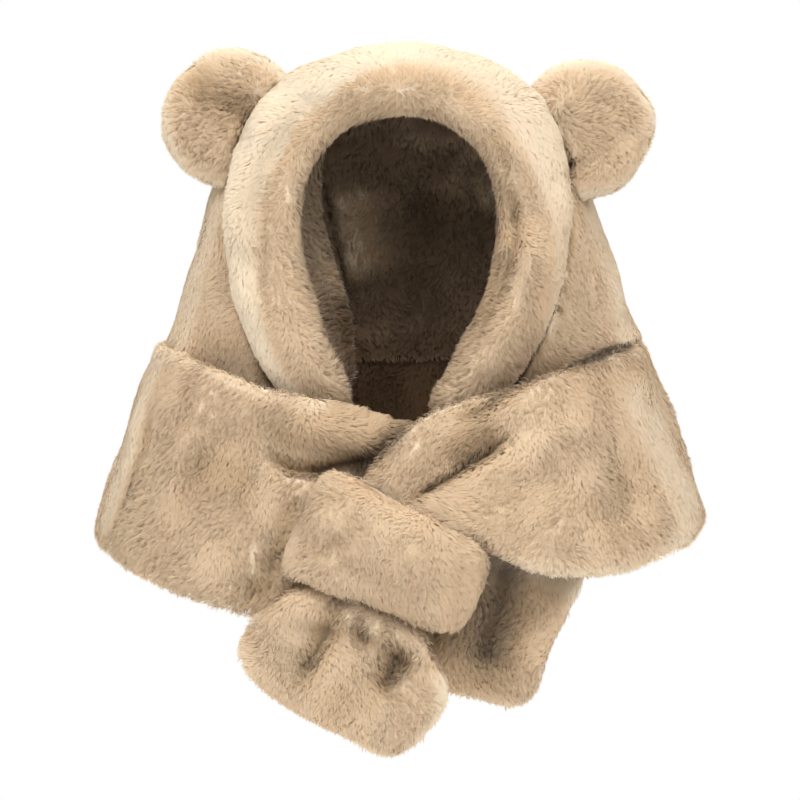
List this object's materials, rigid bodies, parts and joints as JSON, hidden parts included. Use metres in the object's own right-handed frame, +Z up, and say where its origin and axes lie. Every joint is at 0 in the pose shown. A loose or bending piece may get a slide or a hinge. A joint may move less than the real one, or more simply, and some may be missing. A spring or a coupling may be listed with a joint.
{
  "type": "hooded scarf",
  "caption": "Plush hood with a padded face rim and round ears, and a broad scarf that crosses under the chin and threads through a keeper.",
  "frame": {"origin": "inside the crown, where the top of the head sits, as the scarf is worn", "axes": "+Z up, -Y out of the face opening, +X to the viewer's right from the front"},
  "size_m": [0.3951, 0.3058, 0.4376],
  "materials": {
    "plush": "short dense faux-fur pile, matt"
  },
  "bodies": {
    "root": {"hood": "plush", "face_rim": "plush", "ear_left": "plush", "ear_right": "plush", "scarf": "plush", "keeper": "plush"}
  },
  "joints": []
}
